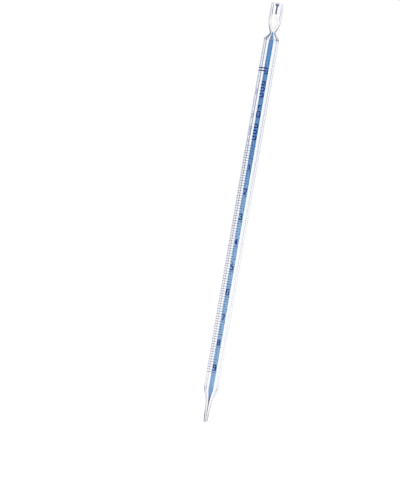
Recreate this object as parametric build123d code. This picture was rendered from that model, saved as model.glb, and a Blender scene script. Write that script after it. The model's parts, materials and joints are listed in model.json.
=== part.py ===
from build123d import *
import os
from math import pi

# Graduated pipette, 10 ml in 0.1 ml steps, blow-out pattern, with a plugged tulip mouthpiece.
# Millimetres. +Z runs up the tube, the delivery tip's end is at the origin, the printed scale
# faces -Y and the blue stripe is in the back of the wall, on the +Y side.

# ---------------------------------------------------------------- driving sizes
LENGTH = 312.0              # tip end to rim
BARREL_R = 5.6              # outside of the tube
BORE_R = 4.125              # inside of the tube
ZERO_Z = 205.6              # height of the 0 line, which marks 10 ml down to the tip
CAPACITY = 10               # ml
ML = 1000.0                 # cubic millimetres in one millilitre
PITCH = ML / (pi * BORE_R**2)   # height of bore that holds one millilitre

# ---------------------------------------------------------------- drawn-down tip
TIP_R = 1.45                # outside, at the end
TIP_TOP_R = 2.25            # outside, where the slender tip meets the cone
TIP_TOP_Z = 14.6
CONE_TOP_Z = 25.2           # the tube has its full outside above this
JET_R = 0.7                 # orifice, straight over JET_L
JET_L = 5.0
CHANNEL_R = 1.45            # bore at the foot of the cone
CHANNEL_Z = 15.0
FUNNEL_TOP_Z = 23.9         # the bore has its full radius above this

# ---------------------------------------------------------------- shoulder, neck, mouthpiece
SHOULDER_Z = 285.6          # where the shoulder's slope leaves the tube
NECK_R = 1.95
NECK_Z = 289.7
MOUTH_R = 4.75              # widest part of the mouthpiece, a short straight cylinder
MOUTH_LOW_Z = 297.6
MOUTH_HIGH_Z = 306.8
RIM_R = 4.4
RIM_ROUND = 0.5             # fire-polished edge
MOUTH_BORE_R = 3.3
RIM_BORE_R = 3.2
NECK_BORE_R = 0.85
NECK_BORE_LOW_Z = 288.9
NECK_BORE_HIGH_Z = 290.3
BORE_SHOULDER_Z = 284.6
FLARE_Z = 298.2             # the mouthpiece's bore has its full radius above this

# ---------------------------------------------------------------- stripe
STRIPE_ANGLE = 44.0         # degrees of the tube's back that the stripe fills
STRIPE_DEPTH = 0.25         # how deep it lies in the wall
STRIPE_MARGIN = 0.6         # it stops this far short of the rounded ends
STRIPE_NARROW = 14.0        # its angle in the mouthpiece, where it was drawn thin
STRIPE_NARROW_Z = 290.6     # it is narrow above this
STRIPE_CROWN_Z = 310.1      # and wide again above this, where the rim was melted back

# ---------------------------------------------------------------- cotton plug
PLUG_R = 3.03
PLUG_LOW_R = 0.8
PLUG_LOW_Z = 291.2
PLUG_WIDE_Z = 298.4
PLUG_TOP_Z = 303.9

# ---------------------------------------------------------------- enamel printing
ENAMEL = 0.04               # how far the fired enamel stands off the glass
LINE_W = 0.28               # height of a graduation line
STEPS = 10                  # 0.1 ml lines in each millilitre
LINE_LEFT = -76.0           # angle at which every line starts, from the front, - is to the left
MINOR_RIGHT = 0.0           # angle at which the 0.1 ml lines end
NUMERAL_GAP = -22.0         # angle at which they end beside a numeral
LONG_RIGHT = 20.0           # angle at which the 0.5 ml and 1 ml lines end

RING_W = 0.85
RING_ZS = {"upper_code_ring": 263.4, "lower_code_ring": 261.4}
RING_LEFT = -100.0
RING_RIGHT = 16.0
CODE_BAR_Z = 259.5
CODE_BAR_LEFT = -12.0
CODE_BAR_RIGHT = 18.0

NUMERAL_H = 5.0
NUMERAL_W = 2.7
STROKE = 0.78
NUMERAL_RISE = 1.0          # from a millilitre's line up to its numeral's foot
NUMERAL_X = -0.3            # numerals stand a little left of the stripe's middle

MARKING_X = -0.35           # middle of the turned-sideways marking
MARKING_W = 3.3             # its glyphs' height, across the tube
MARKING_Z = 226.6           # foot of the marking's first figure
MARKING_STEP = 6.0          # from one figure to the next
LABEL_ZS = (211.5, 216.0, 220.5, 243.0, 247.6, 252.2)   # middles of the plain label blocks
LABEL_L = 3.2
LABEL_BAR = 0.9

ZERO_MARK_X = -4.2          # the small 0 at the left
ZERO_MARK_Z = 208.2
ZERO_MARK_H = 2.2
ZERO_MARK_W = 1.3
ZERO_MARK_STROKE = 0.35

SIDE_LEFT = -60.0           # angles between which the small plain bars at the left lie
SIDE_RIGHT = -38.0
SIDE_BAR = 0.32
SIDE_STEP = 0.9
SIDE_GROUPS = ((243.6, 5), (226.4, 4), (213.6, 8))  # height of each group's first bar, and bars

# Centre lines of the figures in a box one wide and one high, as rounded polylines.
# Each stroke is (closed, points). A pen stroke that ends square runs a little past the box.
FIGURES = {
    "0": [(True, [(-0.5, 0), (0.5, 0), (0.5, 1), (-0.5, 1)])],
    "1": [(False, [(-0.38, 0.72), (0.08, 1.06), (0.08, -0.08)])],
    "2": [(False, [(-0.5, 0.72), (-0.5, 1), (0.5, 1), (0.5, 0.56), (-0.5, 0), (0.5, 0)])],
    "3": [(False, [(-0.5, 0.8), (-0.5, 1), (0.46, 1), (0.46, 0.54), (-0.15, 0.54)]),
          (False, [(-0.15, 0.54), (0.5, 0.54), (0.5, 0), (-0.5, 0), (-0.5, 0.22)])],
    "4": [(False, [(0.22, 1.06), (-0.5, 0.27), (0.6, 0.27)]),
          (False, [(0.22, 1.06), (0.22, -0.08)])],
    "5": [(False, [(0.42, 1), (-0.4, 1), (-0.46, 0.52), (0.5, 0.64), (0.5, 0), (-0.5, 0),
                   (-0.5, 0.2)])],
    "6": [(True, [(-0.5, 0), (0.5, 0), (0.5, 0.57), (-0.5, 0.57)]),
          (False, [(-0.5, 0.3), (-0.5, 1), (0.5, 1), (0.5, 0.82)])],
    "7": [(False, [(-0.6, 1), (0.5, 1), (-0.12, -0.08)])],
    "8": [(True, [(-0.5, 0), (0.5, 0), (0.5, 0.53), (-0.5, 0.53)]),
          (True, [(-0.43, 0.53), (0.43, 0.53), (0.43, 1), (-0.43, 1)])],
    "9": [(True, [(-0.5, 0.43), (0.5, 0.43), (0.5, 1), (-0.5, 1)]),
          (False, [(0.5, 0.7), (0.5, 0), (-0.5, 0), (-0.5, 0.18)])],
}
FIGURE_ROUND = 0.31         # rounding of the figures' corners, as a share of their width


# ---------------------------------------------------------------- helpers
def section(corners):
    """Flat face in the XZ plane from corners (radius, height, rounding)."""
    face = make_face(Polyline(*[(r, 0, z) for r, z, _ in corners], close=True)).faces()[0]
    for r, z, rounding in corners:
        if rounding:
            corner = face.vertices().sort_by_distance((r, 0, z))[0]
            face = face.fillet_2d(rounding, [corner])
    return face


def sector(face, left, right):
    """Turn a section through angles measured from the front, minus to the left."""
    front = face.rotate(Axis.Z, left - 90)
    return revolve(front, Axis.Z, revolution_arc=right - left)


def band(z, height, left, right):
    """Raised enamel line around the tube between two angles."""
    low, high = z - height / 2, z + height / 2
    outer = BARREL_R + ENAMEL
    corners = [(BARREL_R, low, 0), (outer, low, 0), (outer, high, 0), (BARREL_R, high, 0)]
    return sector(section(corners), left, right)


def stroke_faces(closed, points, width, height, stroke):
    """Faces of one pen stroke of a figure, in the figure's own plane."""
    placed = [(x * (width - stroke), stroke / 2 + y * (height - stroke)) for x, y in points]
    if closed:
        low = min(y for _, y in placed)
        high = max(y for _, y in placed)
        wide = max(x for x, _ in placed) - min(x for x, _ in placed)
        middle = Pos(0, (low + high) / 2)
        outer_w, outer_h = wide + stroke, high - low + stroke
        inner_w, inner_h = wide - stroke, high - low - stroke
        outer = RectangleRounded(outer_w, outer_h, 0.45 * min(outer_w, outer_h))
        inner = RectangleRounded(inner_w, inner_h, 0.4 * min(inner_w, inner_h))
        return middle * (outer - inner)
    if len(placed) == 2:
        return trace(Polyline(*placed), line_width=stroke)
    path = FilletPolyline(*placed, radius=FIGURE_ROUND * width / 2)
    return trace(path, line_width=stroke)


def figure(name, width, height, stroke):
    """A whole figure in its own plane, its foot on the X axis."""
    strokes = [stroke_faces(closed, points, width, height, stroke)
               for closed, points in FIGURES[name]]
    return Sketch() + strokes


def printed(sketch, low, high):
    """Wrap a sketch, drawn flat in front of the tube, onto the glass as raised enamel."""
    skin = Cylinder(BARREL_R + ENAMEL, high - low) - Cylinder(BARREL_R, high - low)
    skin = Pos(0, 0, (low + high) / 2) * skin
    block = extrude(Plane.XZ * sketch, amount=2 * BARREL_R)
    return block & skin


# ---------------------------------------------------------------- glass and stripe
OUTSIDE = [
    (TIP_R, 0, 0.3),
    (TIP_TOP_R, TIP_TOP_Z, 16),
    (BARREL_R, CONE_TOP_Z, 12),
    (BARREL_R, SHOULDER_Z, 1.8),
    (NECK_R, NECK_Z, 1.2),
    (MOUTH_R, MOUTH_LOW_Z, 12),
    (MOUTH_R, MOUTH_HIGH_Z, 30),
    (RIM_R, LENGTH, RIM_ROUND),
]
INSIDE = [
    (RIM_BORE_R, LENGTH, RIM_ROUND),
    (MOUTH_BORE_R, MOUTH_HIGH_Z, 30),
    (MOUTH_BORE_R, FLARE_Z, 9),
    (NECK_BORE_R, NECK_BORE_HIGH_Z, 1.5),
    (NECK_BORE_R, NECK_BORE_LOW_Z, 1.0),
    (BORE_R, BORE_SHOULDER_Z, 1.6),
    (BORE_R, FUNNEL_TOP_Z, 8),
    (CHANNEL_R, CHANNEL_Z, 12),
    (JET_R, JET_L, 0),
    (JET_R, 0, 0.15),
]


def glass_blank():
    """The drawn tube with its tip, shoulder and mouthpiece, before the stripe is let in."""
    return revolve(section(OUTSIDE + INSIDE), Axis.Z)


def stripe_space():
    """Sector behind the tube that the stripe fills, reaching out past the glass."""
    low, high = STRIPE_MARGIN, LENGTH - STRIPE_MARGIN
    inward = [(r - STRIPE_DEPTH, z, rounding) for r, z, rounding in OUTSIDE[1:-1]]
    foot_r = TIP_R + (TIP_TOP_R - TIP_R) * low / TIP_TOP_Z - STRIPE_DEPTH
    head_share = (high - MOUTH_HIGH_Z) / (LENGTH - MOUTH_HIGH_Z)
    head_r = MOUTH_R + (RIM_R - MOUTH_R) * head_share - STRIPE_DEPTH
    clear_r = BARREL_R + 1
    corners = [(clear_r, high, 0), (clear_r, low, 0), (foot_r, low, 0)] + inward
    corners.append((head_r, high, 0))
    profile = section(corners)
    wide, narrow = STRIPE_ANGLE / 2, STRIPE_NARROW / 2
    middle = (STRIPE_NARROW_Z + STRIPE_CROWN_Z) / 2
    mouthpiece = Pos(0, 0, middle) * Cylinder(2 * BARREL_R, STRIPE_CROWN_Z - STRIPE_NARROW_Z)
    return sector(profile, 180 - wide, 180 + wide) - mouthpiece + sector(
        profile, 180 - narrow, 180 + narrow)


def cotton_plug():
    """Wad of cotton that fills the mouthpiece's flare and tapers into the neck."""
    return revolve(section([
        (0, PLUG_LOW_Z, 0),
        (PLUG_LOW_R, PLUG_LOW_Z, 0.3),
        (PLUG_R, PLUG_WIDE_Z, 6),
        (PLUG_R, PLUG_TOP_Z, 1.2),
        (0, PLUG_TOP_Z, 0),
    ]), Axis.Z)


# ---------------------------------------------------------------- scale and markings
def line_end(step):
    """Angle at which a step's line ends on the right; steps count down from the 0 line."""
    if step % (STEPS // 2) == 0:
        return LONG_RIGHT
    rise = (STEPS - step % STEPS) * PITCH / STEPS
    beside_numeral = rise < NUMERAL_RISE + NUMERAL_H + LINE_W
    return NUMERAL_GAP if beside_numeral else MINOR_RIGHT


def scale_lines(wanted):
    """Graduation lines whose step number passes the test."""
    steps = [step for step in range((CAPACITY - 1) * STEPS + 1) if wanted(step)]
    lines = [band(ZERO_Z - step * PITCH / STEPS, LINE_W, LINE_LEFT, line_end(step))
             for step in steps]
    return Compound(children=lines)


def numeral(value):
    """The numeral that stands just above its millilitre's line."""
    foot = ZERO_Z - value * PITCH + NUMERAL_RISE
    sketch = Pos(NUMERAL_X, foot) * figure(str(value), NUMERAL_W, NUMERAL_H, STROKE)
    return printed(sketch, foot - 1, foot + NUMERAL_H + 1)


def capacity_marking():
    """The figures 10, turned sideways so that they read along the tube."""
    sketch = Sketch()
    for place, name in enumerate("01"):
        turned = Rot(0, 0, 90) * figure(name, NUMERAL_H, MARKING_W, STROKE)
        foot = Pos(MARKING_X + MARKING_W / 2, MARKING_Z + place * MARKING_STEP + NUMERAL_H / 2)
        sketch += foot * turned
    return printed(sketch, MARKING_Z - 1, MARKING_Z + 2 * MARKING_STEP + 1)


def label_blocks():
    """Plain barred blocks, which carry no wording."""
    blocks = Sketch()
    for z in LABEL_ZS:
        for side in (-1, 1):
            blocks += Pos(MARKING_X, z + side * (LABEL_L - LABEL_BAR) / 2) * Rectangle(
                MARKING_W, LABEL_BAR)
        blocks += Pos(MARKING_X + MARKING_W / 2 - LABEL_BAR / 2, z) * Rectangle(
            LABEL_BAR, LABEL_L)
    return printed(blocks, LABEL_ZS[0] - LABEL_L, LABEL_ZS[-1] + LABEL_L)


def zero_mark():
    """The small 0 at the left, just above the 0 line."""
    sketch = figure("0", ZERO_MARK_W, ZERO_MARK_H, ZERO_MARK_STROKE)
    return printed(Pos(ZERO_MARK_X, ZERO_MARK_Z) * sketch, ZERO_MARK_Z - 1,
                   ZERO_MARK_Z + ZERO_MARK_H + 1)


def side_label():
    """Groups of small plain bars at the left, which carry no wording."""
    heights = [first + place * SIDE_STEP for first, count in SIDE_GROUPS
               for place in range(count)]
    return Compound(children=[band(z, SIDE_BAR, SIDE_LEFT, SIDE_RIGHT) for z in heights])


# ---------------------------------------------------------------- build and write
def build():
    """Every node of the pipette, by name."""
    blank = glass_blank()
    space = stripe_space()
    nodes = {
        "glass_body": blank - space,
        "blue_stripe": blank & space,
        "cotton_plug": cotton_plug(),
        "code_bar": band(CODE_BAR_Z, RING_W, CODE_BAR_LEFT, CODE_BAR_RIGHT),
        "capacity_marking": capacity_marking(),
        "label_blocks": label_blocks(),
        "zero_mark": zero_mark(),
        "side_label": side_label(),
        "minor_graduations": scale_lines(lambda step: step % (STEPS // 2) != 0),
        "half_graduations": scale_lines(lambda step: step % STEPS == STEPS // 2),
        "major_graduations": scale_lines(lambda step: step % STEPS == 0),
    }
    for name, z in RING_ZS.items():
        nodes[name] = band(z, RING_W, RING_LEFT, RING_RIGHT)
    for value in range(1, CAPACITY):
        nodes[f"numeral_{value}"] = numeral(value)
    return nodes


def held_volume():
    """Cubic millimetres that the bore holds from the tip up to the 0 line."""
    tube = Pos(0, 0, ZERO_Z / 2) * Cylinder(2 * BARREL_R, ZERO_Z)
    filled = Pos(0, 0, ZERO_Z / 2) * Cylinder(BARREL_R, ZERO_Z) - glass_blank()
    inner = [s for s in filled.solids() if s.bounding_box().max.X < BARREL_R - 0.01]
    return sum((s & tube).volume for s in inner)


if __name__ == "__main__":
    os.makedirs("parts", exist_ok=True)
    for name, shape in build().items():
        export_step(shape, f"parts/{name}.step")
        print(f"{name:20s} solids {len(shape.solids()):3d}  volume {shape.volume:10.3f}")
    print(f"pitch {PITCH:.3f} mm per ml, held volume {held_volume():.1f} cubic mm")
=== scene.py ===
import json
import logging
import math
import random
from dataclasses import dataclass
from enum import Enum
from typing import Callable, Iterator, Mapping, Sequence

import bmesh
import bpy
from bmesh.types import BMesh, BMVert
from bpy.types import Material, Node, NodeSocket, NodeTree, Object, ShaderNodeTree
from mathutils import Matrix, Vector, noise

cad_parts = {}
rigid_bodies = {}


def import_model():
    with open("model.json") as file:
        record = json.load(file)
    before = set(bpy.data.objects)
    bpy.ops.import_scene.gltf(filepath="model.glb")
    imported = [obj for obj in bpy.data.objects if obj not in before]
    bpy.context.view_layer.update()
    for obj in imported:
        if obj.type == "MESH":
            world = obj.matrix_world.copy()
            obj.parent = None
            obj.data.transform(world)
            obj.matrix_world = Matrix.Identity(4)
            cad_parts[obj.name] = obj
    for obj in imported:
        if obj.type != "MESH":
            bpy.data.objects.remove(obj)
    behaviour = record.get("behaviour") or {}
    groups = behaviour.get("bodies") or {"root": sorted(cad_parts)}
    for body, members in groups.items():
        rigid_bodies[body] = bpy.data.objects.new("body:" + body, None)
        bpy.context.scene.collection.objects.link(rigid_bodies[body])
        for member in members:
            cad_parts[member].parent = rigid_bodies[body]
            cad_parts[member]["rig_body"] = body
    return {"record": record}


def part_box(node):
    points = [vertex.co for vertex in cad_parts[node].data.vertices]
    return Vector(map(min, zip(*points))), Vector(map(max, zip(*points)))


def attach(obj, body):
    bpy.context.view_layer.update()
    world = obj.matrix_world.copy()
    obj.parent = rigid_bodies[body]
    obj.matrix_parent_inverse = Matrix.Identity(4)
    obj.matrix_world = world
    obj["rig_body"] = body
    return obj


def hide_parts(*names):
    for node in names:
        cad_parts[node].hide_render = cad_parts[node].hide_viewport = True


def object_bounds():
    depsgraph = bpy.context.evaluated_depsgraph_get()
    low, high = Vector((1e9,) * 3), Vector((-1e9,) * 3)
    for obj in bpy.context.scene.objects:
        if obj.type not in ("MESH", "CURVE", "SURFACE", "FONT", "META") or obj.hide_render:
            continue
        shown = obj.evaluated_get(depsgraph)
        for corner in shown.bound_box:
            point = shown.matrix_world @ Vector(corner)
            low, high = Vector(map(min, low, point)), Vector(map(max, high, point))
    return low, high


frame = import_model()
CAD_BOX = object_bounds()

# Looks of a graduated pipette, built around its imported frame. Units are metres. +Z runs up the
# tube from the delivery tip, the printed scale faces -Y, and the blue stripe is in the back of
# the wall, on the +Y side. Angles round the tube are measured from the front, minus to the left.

Colour = tuple[float, float, float]
Span = tuple[float, float]      # the two ends of a range

MM = 0.001
MILLILITRE = 1000 * MM**3
ARC_STEP = math.radians(6)      # largest turn between two points of a rounded corner
STRAIGHT = 1e-4                 # a corner that turns by less than this is left as it is
TOP_Z = CAD_BOX[1].z

log = logging.getLogger("pipette")


# ================================================================ sizes from the frame
def mount_radius(name: str) -> float:
    """Radius of one of the record's mounts.

    Args:
        name: The mount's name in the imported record.

    Returns:
        The radius in metres.
    """
    mounts = frame["record"]["mounts"]
    return next(m["dims"]["r_mm"] * MM for m in mounts if m["name"] == name)


def middle_height(node: str) -> float:
    """Height of the middle of a CAD node's box, in metres."""
    low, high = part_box(node)
    return (low.z + high.z) / 2


@dataclass(frozen=True)
class Corner:
    """One corner of an outline that is turned round the tube's axis.

    Attributes:
        radius: Distance from the axis.
        height: Height above the tip.
        rounding: Radius of the arc that rounds the corner, or 0 for a sharp one.
    """

    radius: float
    height: float
    rounding: float = 0.0

    def point(self) -> Vector:
        """The corner as a point of the outline's plane."""
        return Vector((self.radius, self.height))


@dataclass(frozen=True)
class TubeSizes:
    """The drawn tube's outside and inside, from the tip to the rim."""

    barrel: float = mount_radius("barrel")
    bore: float = 4.125 * MM
    tip: float = 1.45 * MM
    tip_top: float = 2.25 * MM
    tip_top_z: float = 14.6 * MM
    cone_top_z: float = 25.2 * MM
    jet: float = mount_radius("jet")
    jet_length: float = 5.0 * MM
    channel: float = 1.45 * MM
    channel_z: float = 15.0 * MM
    funnel_top_z: float = 23.9 * MM
    shoulder_z: float = 285.6 * MM
    neck: float = 1.95 * MM
    neck_z: float = 289.7 * MM
    mouth: float = mount_radius("mouthpiece")
    mouth_low_z: float = 297.6 * MM
    mouth_high_z: float = 306.8 * MM
    rim: float = 4.4 * MM
    rim_rounding: float = 0.5 * MM
    mouth_bore: float = 3.3 * MM
    rim_bore: float = 3.2 * MM
    neck_bore: float = 0.85 * MM
    neck_bore_low_z: float = 288.9 * MM
    neck_bore_high_z: float = 290.3 * MM
    bore_shoulder_z: float = 284.6 * MM
    flare_z: float = 298.2 * MM

    def outside(self) -> list[Corner]:
        """Corners of the outside, from the tip up to the rim."""
        return [
            Corner(self.tip, 0.0, 0.3 * MM),
            Corner(self.tip_top, self.tip_top_z, 16 * MM),
            Corner(self.barrel, self.cone_top_z, 12 * MM),
            Corner(self.barrel, self.shoulder_z, 1.8 * MM),
            Corner(self.neck, self.neck_z, 1.2 * MM),
            Corner(self.mouth, self.mouth_low_z, 12 * MM),
            Corner(self.mouth, self.mouth_high_z, 30 * MM),
            Corner(self.rim, TOP_Z, self.rim_rounding),
        ]

    def inside(self) -> list[Corner]:
        """Corners of the inside, from the rim down to the jet."""
        return [
            Corner(self.rim_bore, TOP_Z, self.rim_rounding),
            Corner(self.mouth_bore, self.mouth_high_z, 30 * MM),
            Corner(self.mouth_bore, self.flare_z, 9 * MM),
            Corner(self.neck_bore, self.neck_bore_high_z, 1.5 * MM),
            Corner(self.neck_bore, self.neck_bore_low_z, 1.0 * MM),
            Corner(self.bore, self.bore_shoulder_z, 1.6 * MM),
            Corner(self.bore, self.funnel_top_z, 8 * MM),
            Corner(self.channel, self.channel_z, 12 * MM),
            Corner(self.jet, self.jet_length, 2.0 * MM),
            Corner(self.jet, 0.0, 0.15 * MM),
        ]


TUBE = TubeSizes()


# ================================================================ outlines and meshes
def rounded_corner(before: Vector, corner: Vector, after: Vector, radius: float,
                   turn: float = ARC_STEP) -> list[Vector]:
    """Points of the arc that rounds one corner of a flat path.

    Args:
        before: The path's point before the corner.
        corner: The corner itself.
        after: The path's point after the corner.
        radius: Radius of the arc; 0 keeps the corner sharp.
        turn: Largest turn between two points, in radians.

    Returns:
        The points that take the corner's place, in the path's order.
    """
    back = (before - corner).normalized()
    ahead = (after - corner).normalized()
    opening = back.angle(ahead)
    if radius <= 0 or math.pi - opening < STRAIGHT:
        return [corner.copy()]
    reach = radius / math.tan(opening / 2)
    centre = corner + (back + ahead).normalized() * (radius / math.sin(opening / 2))
    start = corner + back * reach - centre
    end = corner + ahead * reach - centre
    sweep = start.angle_signed(end)
    count = max(2, math.ceil(abs(sweep) / turn))
    points = []
    for place in range(count + 1):
        angle = -sweep * place / count
        spoke = Vector((start.x * math.cos(angle) - start.y * math.sin(angle),
                        start.x * math.sin(angle) + start.y * math.cos(angle)))
        points.append(centre + spoke)
    return points


def rounded_path(points: Sequence[Vector], radii: Sequence[float], closed: bool,
                 turn: float = ARC_STEP) -> list[Vector]:
    """A flat path with each corner rounded by its own radius.

    Args:
        points: The corners, in order.
        radii: One radius for each corner; those at the ends of an open path are ignored.
        closed: Whether the last point joins the first.
        turn: Largest turn between two points of an arc, in radians.

    Returns:
        The points of the rounded path.
    """
    count = len(points)
    path: list[Vector] = []
    for place, corner in enumerate(points):
        at_end = not closed and place in (0, count - 1)
        if at_end:
            path.append(corner.copy())
            continue
        before = points[place - 1]
        after = points[(place + 1) % count]
        path += rounded_corner(before, corner, after, radii[place], turn)
    return path


def spaced(path: Sequence[Vector], longest: float, closed: bool) -> list[Vector]:
    """The same path with points added so that no span is longer than a limit.

    Args:
        path: Points of the path.
        longest: Longest span allowed, in metres.
        closed: Whether the last point joins the first.

    Returns:
        The denser path.
    """
    spans = len(path) if closed else len(path) - 1
    dense: list[Vector] = []
    for place in range(spans):
        start, end = path[place], path[(place + 1) % len(path)]
        parts = max(1, math.ceil((end - start).length / longest))
        dense += [start.lerp(end, part / parts) for part in range(parts)]
    if not closed:
        dense.append(path[-1].copy())
    return dense


def outline(corners: Sequence[Corner], closed: bool, longest: float = 6 * MM) -> list[Vector]:
    """Points of a turned outline from its corners."""
    path = rounded_path([c.point() for c in corners], [c.rounding for c in corners], closed)
    return spaced(path, longest, closed)


def clamped(value: float) -> float:
    """A value held between 0 and 1."""
    return min(max(value, 0.0), 1.0)


def radius_at(path: Sequence[Vector], height: float) -> float:
    """Radius of a turned outline at a height, between the two points round it."""
    above = next(n for n, p in enumerate(path) if p.y >= height)
    low, high = path[max(above - 1, 0)], path[above]
    share = (height - low.y) / (high.y - low.y) if high.y > low.y else 0.0
    return low.x + (high.x - low.x) * share


def on_tube(radius: float, angle: float, height: float) -> Vector:
    """The point at a radius, an angle from the front and a height."""
    return Vector((radius * math.sin(angle), -radius * math.cos(angle), height))


def new_piece(name: str, mesh_maker: BMesh, smooth: bool = True) -> Object:
    """Makes a scene object from a finished bmesh and frees the bmesh.

    Args:
        name: The piece's name.
        mesh_maker: The bmesh to turn into the object's mesh.
        smooth: Whether its faces are shaded smooth.

    Returns:
        The new object, linked to the scene.
    """
    bmesh.ops.recalc_face_normals(mesh_maker, faces=mesh_maker.faces[:])
    mesh = bpy.data.meshes.new(name)
    mesh_maker.to_mesh(mesh)
    mesh_maker.free()
    if smooth:
        mesh.polygons.foreach_set("use_smooth", [True] * len(mesh.polygons))
    piece = bpy.data.objects.new(name, mesh)
    bpy.context.scene.collection.objects.link(piece)
    return piece


def full_turn(count: int) -> list[float]:
    """Evenly spaced angles that go once round."""
    return [math.tau * place / count for place in range(count)]


def join_rings(bm: BMesh, rings: Sequence[Sequence[BMVert]], closed: bool = False) -> None:
    """Skins a row of rings into one closed surface.

    Args:
        bm: The bmesh that holds the vertices.
        rings: Rings of vertices, each of the same length.
        closed: Whether the last ring joins the first; if not, both are capped.
    """
    width = len(rings[0])
    for row in range(len(rings) if closed else len(rings) - 1):
        low, high = rings[row], rings[(row + 1) % len(rings)]
        for column in range(width):
            beside = (column + 1) % width
            bm.faces.new((low[column], low[beside], high[beside], high[column]))
    if not closed:
        bm.faces.new(rings[0])
        bm.faces.new(rings[-1])


# ================================================================ printed strokes
@dataclass(frozen=True)
class EnamelLayer:
    """How thick the fired enamel lies on the glass, and how soft its edges are."""

    lift: float = 0.004 * MM
    height: float = 0.032 * MM
    edge: float = 0.07 * MM
    edge_limit: float = 0.5     # largest share of half a stroke that its soft edge takes
    knee: Span = (0.3, 0.7)     # where the edge bends, as shares of its width and height
    span: float = 0.3 * MM      # longest step along a stroke

    def section(self, width: float) -> list[tuple[float, float]]:
        """Closed cross-section of a stroke.

        Args:
            width: Width of the stroke.

        Returns:
            Points as (across, above the glass), in order round the section.
        """
        half = width / 2
        edge = min(self.edge, half * self.edge_limit)
        top = self.lift + self.height
        knee = edge * self.knee[0]
        knee_top = self.lift + self.height * self.knee[1]
        return [
            (-half, self.lift), (-half + knee, knee_top), (-half + edge, top), (0.0, top),
            (half - edge, top), (half - knee, knee_top), (half, self.lift), (0.0, self.lift),
        ]


@dataclass(frozen=True)
class PenStroke:
    """One stroke of a figure or mark, in its own flat plane.

    Attributes:
        points: Centre line's corners, as (across, up).
        closed: Whether the stroke is a loop.
    """

    points: tuple[tuple[float, float], ...]
    closed: bool = False


FIGURES: dict[str, tuple[PenStroke, ...]] = {
    "0": (PenStroke(((-0.5, 0), (0.5, 0), (0.5, 1), (-0.5, 1)), closed=True),),
    "1": (PenStroke(((-0.38, 0.72), (0.08, 1.06), (0.08, -0.08))),),
    "2": (PenStroke(((-0.5, 0.72), (-0.5, 1), (0.5, 1), (0.5, 0.56), (-0.5, 0), (0.5, 0))),),
    "3": (PenStroke(((-0.5, 0.8), (-0.5, 1), (0.46, 1), (0.46, 0.54), (-0.15, 0.54))),
          PenStroke(((-0.15, 0.54), (0.5, 0.54), (0.5, 0), (-0.5, 0), (-0.5, 0.22)))),
    "4": (PenStroke(((0.22, 1.06), (-0.5, 0.27), (0.6, 0.27))),
          PenStroke(((0.22, 1.06), (0.22, -0.08)))),
    "5": (PenStroke(((0.42, 1), (-0.4, 1), (-0.46, 0.52), (0.5, 0.64), (0.5, 0), (-0.5, 0),
                     (-0.5, 0.2))),),
    "6": (PenStroke(((-0.5, 0), (0.5, 0), (0.5, 0.57), (-0.5, 0.57)), closed=True),
          PenStroke(((-0.5, 0.3), (-0.5, 1), (0.5, 1), (0.5, 0.82)))),
    "7": (PenStroke(((-0.6, 1), (0.5, 1), (-0.12, -0.08))),),
    "8": (PenStroke(((-0.5, 0), (0.5, 0), (0.5, 0.53), (-0.5, 0.53)), closed=True),
          PenStroke(((-0.43, 0.53), (0.43, 0.53), (0.43, 1), (-0.43, 1)), closed=True)),
    "9": (PenStroke(((-0.5, 0.43), (0.5, 0.43), (0.5, 1), (-0.5, 1)), closed=True),
          PenStroke(((0.5, 0.7), (0.5, 0), (-0.5, 0), (-0.5, 0.18)))),
}


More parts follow.
